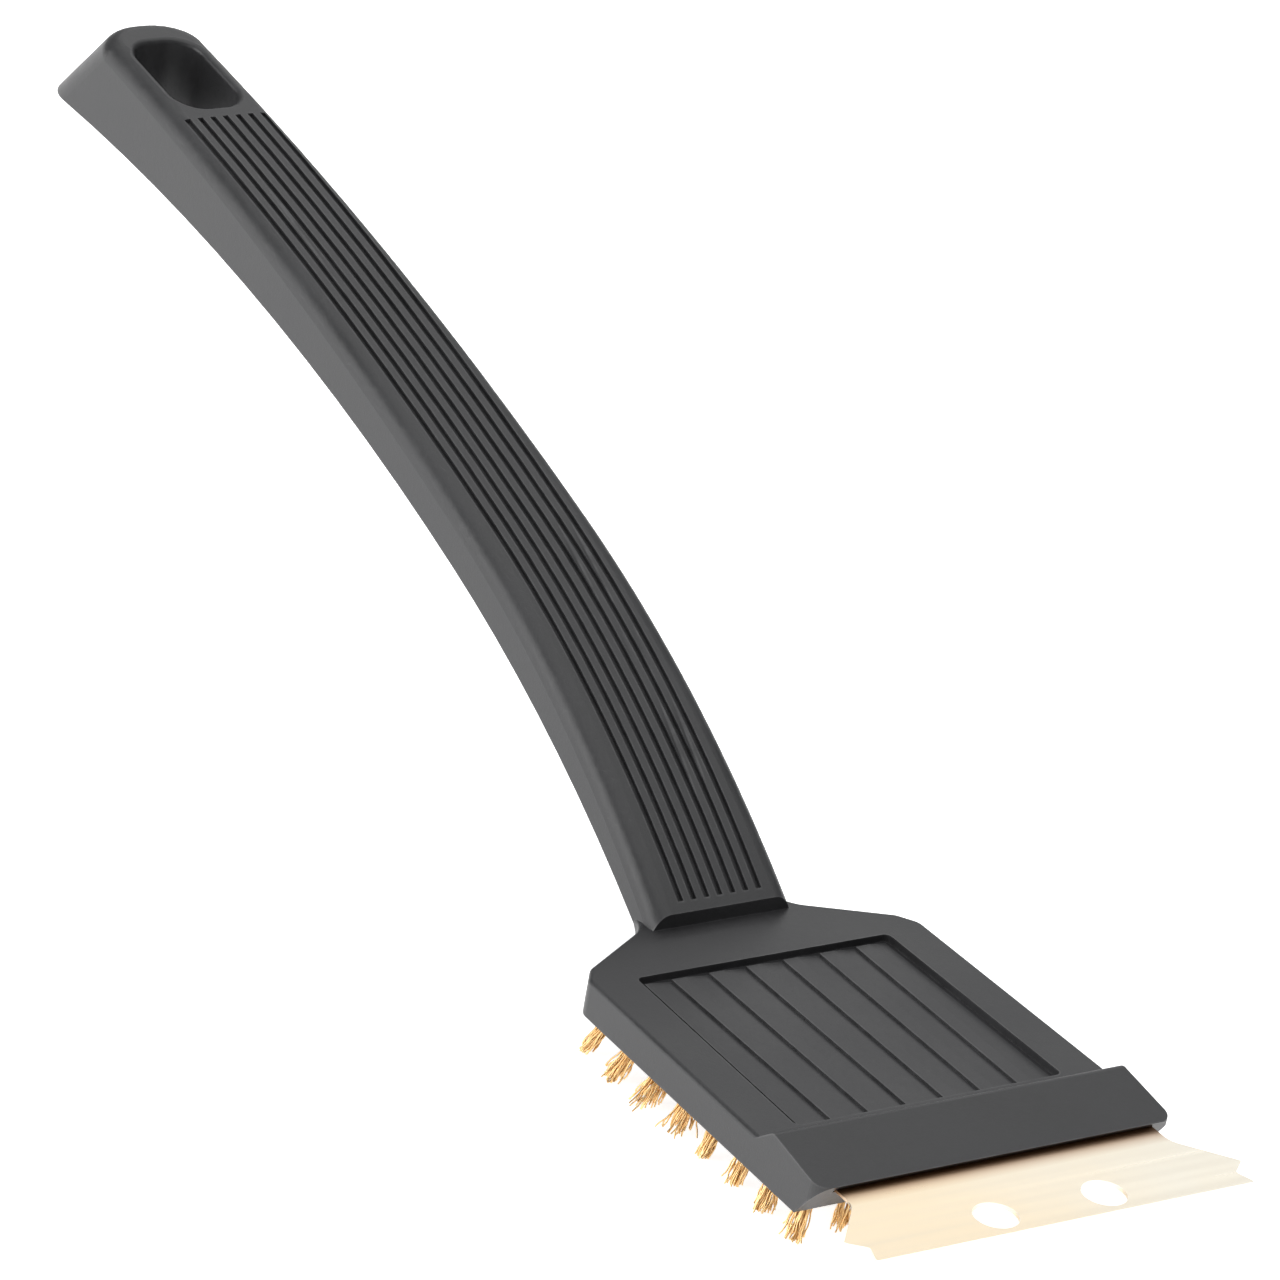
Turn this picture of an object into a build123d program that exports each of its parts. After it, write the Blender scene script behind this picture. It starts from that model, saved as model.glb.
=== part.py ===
from build123d import *
import os
from math import asin, cos, radians, sin, sqrt, tan

# Grill cleaning brush: one moulded resin body (wide head and arched handle), eight rows of
# brass wire tufts set in the head, and a steel scraper blade screwed into the front block.
# Millimetres. +X runs to the scraper edge, +Y is across the head, +Z is up.
# The origin is the middle of the brush's box, at the height of the bristle tips.

os.makedirs("parts", exist_ok=True)

# ---------------------------------------------------------------- overall
OVERALL_LENGTH = 434.0        # scraper edge to the far end of the handle
HEAD_HALF_FRONT = 46.3        # half width of the head at the nose
HEAD_HALF_BACK = 44.2         # half width of the head just ahead of its back corners
TUFT_LENGTH = 8.8             # bristle length below the head
PLATE_THICK = 8.5             # thickness of the head plate

# ---------------------------------------------------------------- head plan
HEAD_LENGTH = 91.0            # nose back to the start of the parallel sides
SHOULDER_RUN = 4.5            # fore and aft run of the sloping back corner
SHOULDER_HALF = 40.8          # half width at the back of the corner
NECK_RUN = 17.0               # nose side to the neck, behind the sides
NECK_HALF = 18.6              # half width of the neck where the handle joins
PLATE_ROOT = 9.0              # how far the plate reaches back into the handle
NECK_ROUND = 9.0
SHOULDER_ROUND = 3.5
SIDE_ROUND = 4.0
NOSE_ROUND = 3.5
PLATE_EDGE_ROUND = 1.0

# ---------------------------------------------------------------- front block
BLADE_REACH = 25.0            # nose to the scraping edge
CREST_BACK = 18.7             # nose back to the crest of the block
STEP_RUN = 4.8                # crest back to the plate
CREST_RISE = 3.8
NOSE_RISE = 0.8
CHIN_BACK = 7.0               # how far the front face slopes back at the bottom

# ---------------------------------------------------------------- sunk panel and its strips
PANEL_BACK = 88.4             # nose back to the panel's back wall
PANEL_LENGTH = 63.5
PANEL_HALF_BACK = 33.5
PANEL_HALF_FRONT = 34.9
PANEL_DEPTH = 1.0
PANEL_ROUND = 1.5
PANEL_GROOVE_WIDTH = 1.4      # groove along the panel's back and sides
PANEL_GROOVE_DEPTH = 0.8      # below the panel's floor
STRIP_COUNT = 7
STRIP_WIDTH = 6.0
STRIP_PITCH = 9.8
STRIP_OFFSET = 1.4            # the strips sit a little to one side, as louvres do
STRIP_DEPTH = 0.6             # each strip slopes down to this depth at its deep side

# ---------------------------------------------------------------- handle side profile
HANDLE_START_BACK = 105.0     # nose back to the lip where the handle's top face ends
LIP_RISE = 3.4                # height of that lip above the plate
TOP_ANGLE = 37.5              # climb of the top face at the lip, degrees
TOP_RADIUS_LOW = 310.0
TOP_RADIUS_HIGH = 1065.0
TOP_JOIN_BACK = 93.3         # lip back to where the two radii meet
UNDER_START_AHEAD = 3.0       # the under face starts this far ahead of the lip
UNDER_ANGLE = 35.0
UNDER_RADIUS_LOW = 366.0
UNDER_RADIUS_HIGH = 690.0
UNDER_JOIN_BACK = 100.5
END_SLANT = 21.0              # the end face leans back this far towards the bottom

# ---------------------------------------------------------------- handle plan
HANDLE_HALF_LOW = 17.6
HANDLE_HALF_HIGH = 13.5
END_ROUND = 12.5
SHOULDER_SOFT = 4.6           # rounding along the top edges
UNDER_SOFT = 0.8

# ---------------------------------------------------------------- grip grooves
GROOVE_COUNT = 7
GROOVE_PITCH = 3.47
GROOVE_WIDTH = 1.5
GROOVE_DEPTH = 1.0
GROOVE_LIP = 2.2              # plain band left at the lip
GROOVE_HOLE_GAP = 4.2         # plain band left in front of the hanging hole

# ---------------------------------------------------------------- hanging hole
HOLE_FROM_END = 28.8          # far end of the handle to the hole
HOLE_LENGTH = 30.0
HOLE_HALF = 9.0
HOLE_ROUND = 7.0
HOLE_RIM = 1.2                # softened rim
COLLAR = 2.6                  # wall kept around the hole

# ---------------------------------------------------------------- hollow underside
ROOF = 4.2                    # material left under the top face
WALL = 2.8                    # material left at the sides
POCKET_COUNT = 9
RIB = 2.2                     # cross rib between two pockets
POCKET_NEAR = 22.0            # lip back to the first pocket
POCKET_ROUND = 1.2

# ---------------------------------------------------------------- bristle field
ROW_COUNT = 8
COLUMN_COUNT = 8
ROW_PITCH = 10.8
COLUMN_PITCH = 11.2
FIRST_ROW_BACK = 87.4         # nose back to the rear row
BORE = 4.2
BORE_DEPTH = 5.2
TUFT_FIT = 0.1                # clearance all round a tuft in its bore
TUFT_TIP = 6.6                # spread of a tuft at its tip
OUTWARD_LEAN = 19.0           # lean of the outermost tufts, degrees
ANCHOR_THICK = 0.5
ANCHOR_WIDTH = 3.0
ANCHOR_HEIGHT = 1.6

# ---------------------------------------------------------------- scraper blade
BLADE_THICK = 1.0
BLADE_FIT = 0.08              # clearance above and below the blade in its slot
BLADE_DROP = 1.3              # nose edge down to the blade's upper face
BLADE_ROOT = 22.0             # depth of the blade inside the block
ROOT_HALF = 41.3
ROOT_FIT = 0.3
ROOT_STRAIGHT = 5.2           # straight sides in front of the nose
EAR_BACK = 8.1                # scraping edge back to the outer points
EAR_HALF = 51.8
NOTCH_BACK = 4.6
NOTCH_HALF = 47.6
EDGE_HALF = 49.3
EAR_CURVE = 6.0
HOLE_BACK = 6.7               # scraping edge to the round holes' centres
ROUND_HOLE = 10.0
ROUND_HOLE_SPAN = 28.2
EDGE_BEVEL = 0.45
TIP_ROUND = 0.5

# ---------------------------------------------------------------- blade screws
SCREW_SPAN = 67.2             # the two outer screws, centre to centre
SCREW_BACK = 17.2             # nose back to the screws
SCREW_SHANK = 3.0
SCREW_HEAD = 6.0
SCREW_HEAD_HIGH = 2.0
SCREW_REACH = 1.9             # shank above the blade
SCREW_FIT = 0.05
SCREW_SINK = 0.4              # head below the underside
HEAD_FIT = 0.3
DRIVE_ACROSS = 2.5
DRIVE_DEPTH = 1.1

# ---------------------------------------------------------------- derived places
X_EDGE = OVERALL_LENGTH / 2
X_NOSE = X_EDGE - BLADE_REACH
X_CREST = X_NOSE - CREST_BACK
X_STEP = X_CREST - STEP_RUN
X_SIDE = X_NOSE - HEAD_LENGTH
X_LIP = X_NOSE - HANDLE_START_BACK
X_END = -OVERALL_LENGTH / 2
X_TOP_END = X_END + END_SLANT
Z_UNDER = TUFT_LENGTH
Z_PLATE = Z_UNDER + PLATE_THICK
Z_CREST = Z_PLATE + CREST_RISE
Z_NOSE = Z_PLATE + NOSE_RISE
Z_BLADE = Z_NOSE - BLADE_DROP - BLADE_THICK
X_HOLE = X_END + HOLE_FROM_END + HOLE_LENGTH / 2
X_GROOVE_HIGH = X_END + HOLE_FROM_END + HOLE_LENGTH + GROOVE_HOLE_GAP
X_SCREW = X_NOSE - SCREW_BACK
BIG = 400.0


def two_arcs(x0, z0, angle, radius_a, x_join, radius_b, x1, lift=0.0):
    """Points of a curve climbing towards -X on two tangent arcs, moved outward by lift."""
    a0 = radians(angle)
    ca = (x0 - radius_a * sin(a0), z0 - radius_a * cos(a0))
    a1 = asin((x_join - ca[0]) / radius_a)
    cb = (ca[0] + (radius_a - radius_b) * sin(a1), ca[1] + (radius_a - radius_b) * cos(a1))
    a2 = asin((x1 - cb[0]) / (radius_b + lift))

    def on(c, r, a):
        return (c[0] + (r + lift) * sin(a), c[1] + (r + lift) * cos(a))

    return [on(ca, radius_a, a0), on(ca, radius_a, (a0 + a1) / 2), on(ca, radius_a, a1),
            on(cb, radius_b, (a1 + a2) / 2), on(cb, radius_b, a2)]


def top_curve(lift=0.0, x1=X_TOP_END):
    return two_arcs(X_LIP, Z_PLATE + LIP_RISE, TOP_ANGLE, TOP_RADIUS_LOW,
                    X_LIP - TOP_JOIN_BACK, TOP_RADIUS_HIGH, x1, lift)


def under_curve(lift=0.0, x1=X_END):
    x0 = X_LIP + UNDER_START_AHEAD
    return two_arcs(x0, Z_UNDER, UNDER_ANGLE, UNDER_RADIUS_LOW,
                    x0 - UNDER_JOIN_BACK, UNDER_RADIUS_HIGH, x1, lift)


def height_on(curve, x):
    """Height of a two-arc curve at one x."""
    far = 2 if x < curve[2][0] else 0
    (xa, za), (xb, zb), (xc, zc) = curve[far], curve[far + 1], curve[far + 2]
    d = 2 * (xa * (zb - zc) + xb * (zc - za) + xc * (za - zb))
    cx = ((xa**2 + za**2) * (zb - zc) + (xb**2 + zb**2) * (zc - za) + (xc**2 + zc**2) * (za - zb)) / d
    cz = ((xa**2 + za**2) * (xc - xb) + (xb**2 + zb**2) * (xa - xc) + (xc**2 + zc**2) * (xb - xa)) / d
    r = sqrt((xa - cx)**2 + (za - cz)**2)
    return cz + sqrt(r**2 - (x - cx)**2)


def side_slab(curves, half):
    """Closed side profile in XZ, given as edges, pulled out to both sides."""
    return extrude(Plane.XZ * make_face(Curve() + curves), half, both=True)


def between(upper, lower):
    """Edges of the region between two two-arc curves."""
    return [ThreePointArc(upper[0], upper[1], upper[2]), ThreePointArc(upper[2], upper[3], upper[4]),
            Line(upper[4], lower[4]),
            ThreePointArc(lower[4], lower[3], lower[2]), ThreePointArc(lower[2], lower[1], lower[0]),
            Line(lower[0], upper[0])]


def handle_half(x):
    """Half width of the handle in plan at one x."""
    t = (X_LIP - x) / (X_LIP - X_END)
    return HANDLE_HALF_LOW + (HANDLE_HALF_HIGH - HANDLE_HALF_LOW) * t


def handle_prism(inset):
    """Tapered plan of the handle with a rounded far end, pulled up along the leaning end face."""
    z_low, z_high = under_curve()[4][1], top_curve()[4][1]
    lean = END_SLANT / (z_high - z_low)
    x_front, x_back = X_LIP + UNDER_START_AHEAD + lean * z_low, X_END + inset
    a, b = handle_half(x_front) - inset, handle_half(x_back) - inset
    face = make_face(Polyline((x_front, -a), (x_front, a), (x_back, b), (x_back, -b), close=True))
    face = fillet(face.vertices().sort_by(Axis.X)[:2], END_ROUND - inset)
    along = Vector(lean, 0, 1) * (z_high + 60.0)
    return extrude(Pos(-lean * z_low, 0, 0) * face, amount=along.length, dir=along.normalized())


def head_plan():
    """Plan of the head, from the root under the handle out to the nose."""
    x_neck = X_SIDE - NECK_RUN
    pts = [(x_neck - PLATE_ROOT, NECK_HALF - 0.5), (x_neck, NECK_HALF),
           (X_SIDE - SHOULDER_RUN, SHOULDER_HALF), (X_SIDE, HEAD_HALF_BACK), (X_NOSE, HEAD_HALF_FRONT)]
    face = make_face(Polyline(*pts, *[(x, -y) for x, y in reversed(pts)], close=True))
    rounds = [(pts[1], NECK_ROUND), (pts[2], SHOULDER_ROUND), (pts[3], SIDE_ROUND), (pts[4], NOSE_ROUND)]
    for (x, y), r in rounds:
        near = [v for v in face.vertices() if abs(v.X - x) < 0.01 and abs(abs(v.Y) - y) < 0.01]
        face = fillet(near, r)
    return face


def below_handle():
    """Everything under the handle's lower face, so that the plate runs smoothly into it."""
    low = under_curve()
    return side_slab([ThreePointArc(low[0], low[1], low[2]), ThreePointArc(low[2], low[3], low[4]),
                      Line(low[4], (low[4][0], -50.0)), Line((low[4][0], -50.0), (low[0][0], -50.0)),
                      Line((low[0][0], -50.0), low[0])], 60.0)


def head_solid():
    """Plate and front block, with the plate's upper and lower edges softened."""
    plan = head_plan()
    plate = extrude(Pos(0, 0, Z_UNDER) * plan, PLATE_THICK)
    x0 = X_STEP - 6.0
    block = side_slab([Polyline((x0, Z_UNDER), (x0, Z_PLATE), (X_STEP, Z_PLATE), (X_CREST, Z_CREST),
                                (X_NOSE, Z_NOSE), (X_NOSE - CHIN_BACK, Z_UNDER), close=True)], BIG / 2)
    block = block & extrude(plan, BIG)
    behind = Pos(X_STEP - 3.0 - BIG / 2, 0, 0) * Box(BIG, BIG, BIG)
    plate = (plate & behind) - below_handle()
    head = plate + block
    top = head.faces().filter_by(Axis.Z).sort_by(Axis.Z)
    rim = [e for e in top[-1].edges() if min(abs(e.center().Y), 1e9) > 20.0 and e.center().X < X_STEP - 1.0]
    head = soft_fillet(head, rim, PLATE_EDGE_ROUND)
    crest = [e for e in head.edges() if abs(e.center().X - X_CREST) < 0.3 and e.center().Z > Z_CREST - 0.5]
    head = soft_fillet(head, crest, 2.0)
    return head


def soft_fillet(body, edges, radius):
    """Round a group of edges; a group that will not take the radius is left sharp."""
    if not edges:
        return body
    for r in (radius, radius * 0.6, radius * 0.35):
        try:
            out = fillet(edges, r)
            if out.is_valid:
                print("rounded", len(edges), "edges at", round(r, 2))
                return out
        except Exception:
            continue
    print("left sharp:", len(edges), "edges at radius", radius)
    return body


def handle_solid():
    """Arched handle: side profile trimmed by the tapered plan, upper edges well rounded."""
    top, low = top_curve(), under_curve()
    x0 = X_LIP + UNDER_START_AHEAD
    edges = [ThreePointArc(top[0], top[1], top[2]), ThreePointArc(top[2], top[3], top[4]),
             Line(top[4], low[4]),
             ThreePointArc(low[4], low[3], low[2]), ThreePointArc(low[2], low[1], low[0]),
             Line(low[0], (x0, Z_PLATE - 1.0)), Line((x0, Z_PLATE - 1.0), (X_LIP, Z_PLATE - 1.0)),
             Line((X_LIP, Z_PLATE - 1.0), top[0])]
    slab = side_slab(edges, 60.0)
    handle = slab & handle_prism(0.0)
    upper = [e for e in handle.edges() if on_curve(e, top) and abs(e.center().Y) > 1.0]
    upper += [e for e in handle.edges() if abs(e.center().Y) < 1.0 and abs(e.center().X - X_TOP_END) < 1.0
              and e.center().Z > height_on(low, X_TOP_END) + 8.0]
    handle = soft_fillet(handle, upper, SHOULDER_SOFT)
    return handle


def on_curve(edge, curve):
    """True when an edge's middle lies on the given two-arc curve, away from its front end."""
    m = edge @ 0.5
    if m.X < curve[4][0] or m.X > curve[0][0] - 0.5:
        return False
    return abs(height_on(curve, m.X) - m.Z) < 0.05


def hole_face(grow):
    return Pos(X_HOLE, 0, 0) * RectangleRounded(HOLE_LENGTH + 2 * grow, 2 * (HOLE_HALF + grow), HOLE_ROUND + grow)


def handle_pockets():
    """Hollow underside: a row of pockets between cross ribs, clear of the hanging hole's collar."""
    roof = top_curve(-ROOF, X_END)
    low = under_curve(-30.0, X_END)
    slab = side_slab(between(roof, low), 60.0)
    x_near = X_LIP - POCKET_NEAR
    hollow = slab & handle_prism(WALL) & (Pos(x_near - BIG, 0, 0) * Box(2 * BIG, BIG, BIG))
    step = (x_near - (X_HOLE + HOLE_LENGTH / 2 + COLLAR)) / POCKET_COUNT
    for k in range(1, POCKET_COUNT + 1):
        hollow -= Pos(x_near - k * step, 0, 0) * Box(RIB, BIG, BIG)
    hollow -= extrude(hole_face(COLLAR), BIG)
    return [s for s in hollow.solids() if s.volume > 40.0]


def grip_grooves():
    """Seven long grooves of even depth below the handle's top face."""
    over, under = top_curve(3.0, X_GROOVE_HIGH), top_curve(-GROOVE_DEPTH, X_GROOVE_HIGH)
    slab = side_slab(between(over, under), 60.0) & (Pos(X_LIP - GROOVE_LIP - BIG / 2, 0, 0) * Box(BIG, BIG, BIG))
    out = []
    for k in range(GROOVE_COUNT):
        y = (k - (GROOVE_COUNT - 1) / 2) * GROOVE_PITCH
        out.append(slab & (Pos(0, y, 0) * Box(BIG * 2, GROOVE_WIDTH, BIG * 2)))
    return out


def panel_cut():
    """Sunk panel on the head with a groove along its rim and seven deeper strips."""
    x_back, x_front = X_NOSE - PANEL_BACK, X_NOSE - PANEL_BACK + PANEL_LENGTH
    a, b = PANEL_HALF_BACK, PANEL_HALF_FRONT
    face = make_face(Polyline((x_back, -a), (x_front, -b), (x_front, b), (x_back, a), close=True))
    face = fillet(face.vertices(), PANEL_ROUND)
    z_floor = Z_PLATE - PANEL_DEPTH
    panel = extrude(Pos(0, 0, z_floor) * face, PANEL_DEPTH + 1.0)
    deep = extrude(Pos(0, 0, z_floor - STRIP_DEPTH) * face, STRIP_DEPTH + 0.5)
    w = PANEL_GROOVE_WIDTH
    inner = make_face(Polyline((x_back + w, w - a), (x_front + w, w - b), (x_front + w, b - w),
                               (x_back + w, a - w), close=True))
    groove = extrude(Pos(0, 0, z_floor - PANEL_GROOVE_DEPTH) * (face - inner), PANEL_GROOVE_DEPTH + 0.5)
    cuts = [panel, groove]
    for k in range(STRIP_COUNT):
        y = (k - (STRIP_COUNT - 1) / 2) * STRIP_PITCH + STRIP_OFFSET
        a, b = y - STRIP_WIDTH / 2, y + STRIP_WIDTH / 2
        slope = make_face(Polyline((a, z_floor), (b, z_floor - STRIP_DEPTH), (b, z_floor + 0.3),
                                   (a, z_floor + 0.3), close=True))
        cuts.append(deep & extrude(Plane.YZ * slope, BIG, both=True))
    return cuts


def tuft_places():
    """Rows from the handle to the nose, each a list of (x, y)."""
    rows = []
    for i in range(ROW_COUNT):
        x = X_NOSE - FIRST_ROW_BACK + i * ROW_PITCH
        rows.append([(x, (j - (COLUMN_COUNT - 1) / 2) * COLUMN_PITCH) for j in range(COLUMN_COUNT)])
    return rows


def tuft_shift(x, y):
    """How far a tuft's tip stands from its root: outward at the sides, a little fore and aft."""
    across = y / (COLUMN_PITCH * (COLUMN_COUNT - 1) / 2)
    mid = X_NOSE - FIRST_ROW_BACK + ROW_PITCH * (ROW_COUNT - 1) / 2
    along = (x - mid) / (ROW_PITCH * (ROW_COUNT - 1) / 2)
    dy = TUFT_LENGTH * tan(radians(OUTWARD_LEAN)) * abs(across)**1.5 * (1 if across > 0 else -1)
    dx = TUFT_LENGTH * tan(radians(OUTWARD_LEAN / 2)) * abs(along)**1.5 * (1 if along > 0 else -1)
    return dx, dy


def anchor(x, y, grow=0.0):
    z = Z_UNDER + BORE_DEPTH - 2 * TUFT_FIT - ANCHOR_HEIGHT / 2 - 0.6
    return Pos(x, y, z) * Box(ANCHOR_THICK + 2 * grow, ANCHOR_WIDTH + 2 * grow, ANCHOR_HEIGHT + 2 * grow)


def tuft(x, y):
    """One tuft: straight root in its bore, then a spreading, leaning brush of wire."""
    r = BORE / 2 - TUFT_FIT
    root_high = BORE_DEPTH - 2 * TUFT_FIT
    root = Pos(x, y, Z_UNDER + root_high / 2) * Cylinder(r, root_high)
    dx, dy = tuft_shift(x, y)
    wires = loft([Pos(x, y, Z_UNDER) * Circle(r).face(), Pos(x + dx, y + dy, 0) * Circle(TUFT_TIP / 2).face()])
    return (root + wires) - anchor(x, y, TUFT_FIT / 2)


def screw_places():
    return [(X_SCREW, -SCREW_SPAN / 2), (X_SCREW, 0.0), (X_SCREW, SCREW_SPAN / 2)]


def screw_cut(x, y):
    """Counterbore, shank hole and thread hole for one blade screw."""
    sink = Z_UNDER + SCREW_SINK + SCREW_HEAD_HIGH
    tip = Z_BLADE + BLADE_THICK + SCREW_REACH
    bore = Pos(x, y, (Z_UNDER - 1 + sink) / 2) * Cylinder(SCREW_HEAD / 2 + HEAD_FIT, sink - Z_UNDER + 1)
    shank = Pos(x, y, (sink + tip) / 2) * Cylinder(SCREW_SHANK / 2 + SCREW_FIT, tip - sink + 0.4)
    return [bore, shank]


def brush_body():
    body = head_solid() + handle_solid()
    for cutter in handle_pockets() + grip_grooves() + panel_cut():
        body -= cutter
    hole = extrude(Pos(0, 0, 40) * hole_face(0.0), BIG)
    body -= hole
    rim = [e for e in body.edges() if near_hole_rim(e)]
    body = soft_fillet(body, rim, HOLE_RIM)
    bores = []
    for row in tuft_places():
        for x, y in row:
            bores.append(Pos(x, y, Z_UNDER + BORE_DEPTH / 2 - 0.5) * Cylinder(BORE / 2, BORE_DEPTH + 1.0))
    body -= bores
    slot_x = X_NOSE - BLADE_ROOT - ROOT_FIT
    slot = Pos((slot_x + X_NOSE + 5) / 2, 0, Z_BLADE + BLADE_THICK / 2) * Box(
        X_NOSE + 5 - slot_x, 2 * (ROOT_HALF + ROOT_FIT), BLADE_THICK + 2 * BLADE_FIT)
    body -= slot
    for x, y in screw_places():
        body -= screw_cut(x, y)
    return body.solids().sort_by(SortBy.VOLUME)[-1]


def near_hole_rim(edge):
    """True for the edges where the hanging hole breaks the handle's top face."""
    m = edge @ 0.5
    if abs(m.X - X_HOLE) > HOLE_LENGTH / 2 + 0.2 or abs(m.Y) > HOLE_HALF + 0.2:
        return False
    inside = abs(m.X - X_HOLE) < HOLE_LENGTH / 2 - 0.2 and abs(m.Y) < HOLE_HALF - 2.6
    return (not inside) and m.Z > height_on(top_curve(0.0, X_END), m.X) - 0.4


def scraper_blade():
    """Flat blade with fish-tail ends, two round holes and three screw holes in its root."""
    x_root = X_NOSE - BLADE_ROOT
    half = [(x_root, ROOT_HALF), (X_NOSE + ROOT_STRAIGHT, ROOT_HALF), (X_EDGE - EAR_BACK, EAR_HALF),
            (X_EDGE - NOTCH_BACK, NOTCH_HALF), (X_EDGE, EDGE_HALF)]
    face = make_face(Polyline(*half, *[(x, -y) for x, y in reversed(half)], close=True))
    for (x, y), r in [(half[1], EAR_CURVE), (half[2], TIP_ROUND), (half[3], 1.0), (half[4], TIP_ROUND)]:
        near = [v for v in face.vertices() if abs(v.X - x) < 0.01 and abs(abs(v.Y) - y) < 0.01]
        face = fillet(near, r)
    for s in (-1, 1):
        face -= Pos(X_EDGE - HOLE_BACK, s * ROUND_HOLE_SPAN / 2) * Circle(ROUND_HOLE / 2)
    for x, y in screw_places():
        face -= Pos(x, y) * Circle(SCREW_SHANK / 2 + SCREW_FIT + 0.2)
    blade = extrude(Pos(0, 0, Z_BLADE) * face, BLADE_THICK)
    edge = [e for e in blade.edges().filter_by(Axis.Y) if abs(e.center().X - X_EDGE) < 0.01
            and e.center().Z < Z_BLADE + 0.01]
    return chamfer(edge, EDGE_BEVEL)


def blade_screw(x, y):
    """Low cylinder head with a hexagon recess, shank up through the blade."""
    z0 = Z_UNDER + SCREW_SINK
    z1 = z0 + SCREW_HEAD_HIGH
    tip = Z_BLADE + BLADE_THICK + SCREW_REACH
    head = Pos(x, y, (z0 + z1) / 2) * Cylinder(SCREW_HEAD / 2, SCREW_HEAD_HIGH)
    low = head.edges().filter_by(GeomType.CIRCLE).sort_by(Axis.Z)[0]
    head = fillet(low, 0.5)
    shank = Pos(x, y, (z1 + tip) / 2) * Cylinder(SCREW_SHANK / 2, tip - z1)
    drive = extrude(Pos(x, y, z0 - 0.5) * RegularPolygon(DRIVE_ACROSS / 2, 6, major_radius=False), DRIVE_DEPTH + 0.5)
    return head + shank - drive


def write(shape, name):
    export_step(shape, "parts/" + name + ".step")
    print(name, "volume", round(shape.volume, 1), "mm3", "valid", shape.is_valid)


write(brush_body(), "brush_body")
write(scraper_blade(), "scraper_blade")
for name, (x, y) in zip(("blade_screw_right", "blade_screw_middle", "blade_screw_left"), screw_places()):
    write(blade_screw(x, y), name)
for i, row in enumerate(tuft_places(), start=1):
    write(Compound([tuft(x, y).solids()[0] for x, y in row]), f"tuft_row_{i}")
    write(Compound([anchor(x, y).solids()[0] for x, y in row]), f"anchor_row_{i}")
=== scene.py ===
# %% [markdown]
# # A grill cleaning brush
# The brush is one black moulding, a wide head and an arched ribbed handle, with brass wire tufts set in
# its underside and a flat steel scraper screwed into the block at its front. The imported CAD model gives
# every size and place, so this script adds only what CAD leaves plain: the single wires of each tuft,
# and the finish of every surface.

# %% Load the fixed frame
import math

import bpy
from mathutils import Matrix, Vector


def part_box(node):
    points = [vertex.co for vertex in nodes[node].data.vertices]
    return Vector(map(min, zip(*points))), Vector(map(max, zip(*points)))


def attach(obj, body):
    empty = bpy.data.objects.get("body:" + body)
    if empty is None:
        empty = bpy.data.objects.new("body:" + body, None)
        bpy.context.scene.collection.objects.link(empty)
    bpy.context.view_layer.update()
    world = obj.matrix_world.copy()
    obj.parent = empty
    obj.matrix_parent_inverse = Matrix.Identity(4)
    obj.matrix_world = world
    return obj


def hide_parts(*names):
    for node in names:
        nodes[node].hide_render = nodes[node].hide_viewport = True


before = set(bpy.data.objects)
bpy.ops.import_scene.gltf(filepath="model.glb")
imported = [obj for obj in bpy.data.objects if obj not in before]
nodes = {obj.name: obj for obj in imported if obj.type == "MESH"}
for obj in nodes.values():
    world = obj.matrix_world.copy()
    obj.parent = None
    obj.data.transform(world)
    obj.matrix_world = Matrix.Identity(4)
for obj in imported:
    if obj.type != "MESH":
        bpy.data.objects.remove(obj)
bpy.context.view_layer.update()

# %% [markdown]
# Places come from the frame. The head is the part of the body that carries the tufts, so the tuft rows
# tell where the underside is and how far apart the bores are.

# %% Places read from the frame
ROWS = 8
COLUMNS = 8
anchor_boxes = [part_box(f"anchor_row_{i}") for i in range(1, ROWS + 1)]
body_low, body_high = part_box("brush_body")
blade_low, blade_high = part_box("scraper_blade")
UNDERSIDE = body_low.z                    # the face that the bores are drilled into
TIP_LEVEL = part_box("tuft_row_1")[0].z     # the height of the bristle tips
WIRE_LENGTH = UNDERSIDE - TIP_LEVEL
print("wires show for", round(1000 * WIRE_LENGTH, 1), "mm below the head")

# %% [markdown]
# ## Shared surface effects
# Moulded plastic, rolled sheet and drawn wire all need a little of the same thing: a pattern that breaks
# up the gloss. Each effect is a node group with named sockets, so one group serves several materials
# and each material only gives its own numbers.

# %% A helper for node groups
def new_group(name, inputs, outputs):
    """A shader node group: inputs are (name, type, default), outputs are (name, type)."""
    group = bpy.data.node_groups.new(name, "ShaderNodeTree")
    for label, kind, default in inputs:
        socket = group.interface.new_socket(label, in_out="INPUT", socket_type="NodeSocket" + kind)
        if default is not None:
            socket.default_value = default
    for label, kind in outputs:
        group.interface.new_socket(label, in_out="OUTPUT", socket_type="NodeSocket" + kind)
    entry = group.nodes.new("NodeGroupInput")
    leave = group.nodes.new("NodeGroupOutput")
    return group, entry, leave


def add(tree, kind, **settings):
    """A node with its settings. A key that starts with in_ sets the input of that number."""
    node = tree.nodes.new(kind)
    for key, value in settings.items():
        if key.startswith("in_"):
            node.inputs[int(key[3:])].default_value = value
        else:
            setattr(node, key, value)
    return node


def join(tree, source, target):
    tree.links.new(source, target)


def sum_of(tree, first, second, share):
    """first + second * share, for two sockets."""
    node = add(tree, "ShaderNodeMath", operation="MULTIPLY_ADD", in_1=share)
    join(tree, second, node.inputs[0])
    join(tree, first, node.inputs[2])
    return node.outputs[0]

# %% [markdown]
# **Moulded grain.** A spark-eroded mould leaves a fine, even grain of about a third of a millimetre, and
# the part cools with faint broad waves. Two noises give the grain and a third the waves. The group puts
# out one height and one mask that the materials use for gloss.

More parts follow.
